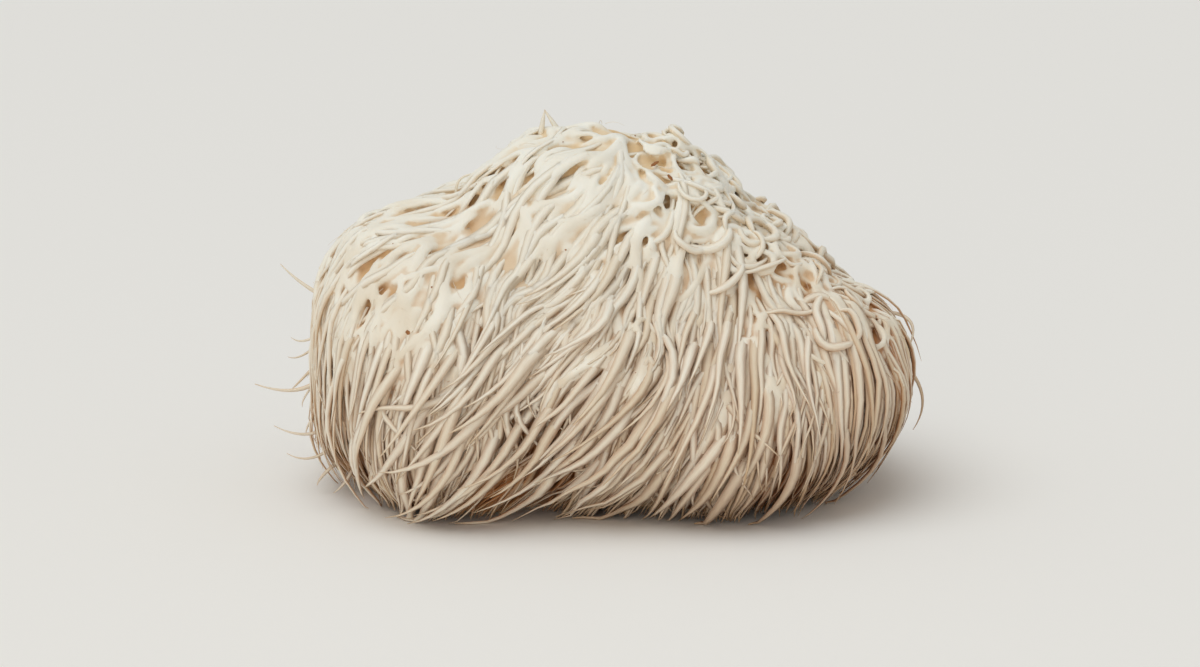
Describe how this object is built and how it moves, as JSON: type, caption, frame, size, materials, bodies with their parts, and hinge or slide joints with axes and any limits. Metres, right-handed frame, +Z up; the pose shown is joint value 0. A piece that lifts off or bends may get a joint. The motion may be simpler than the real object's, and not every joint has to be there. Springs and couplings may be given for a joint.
{
  "type": "lions mane mushroom",
  "caption": "Fresh whole lion's mane mushroom, cut off flat at the base: a lopsided dome of curled, grown-together spines on top over a thick skirt of long hanging spines.",
  "frame": {"origin": "on the flat cut that the mushroom rests on, below the middle of its outer box", "axes": "+Z up out of the cut, +X along its longest side, towards the low shoulder; -Y is the fuller front of the skirt"},
  "size_m": [0.1394, 0.1016, 0.084],
  "materials": {
    "cream_flesh": "soft, moist, matte flesh, creamy white with tan shadows between the spines"
  },
  "bodies": {
    "root": {"fruiting_body": "cream_flesh"}
  },
  "joints": []
}
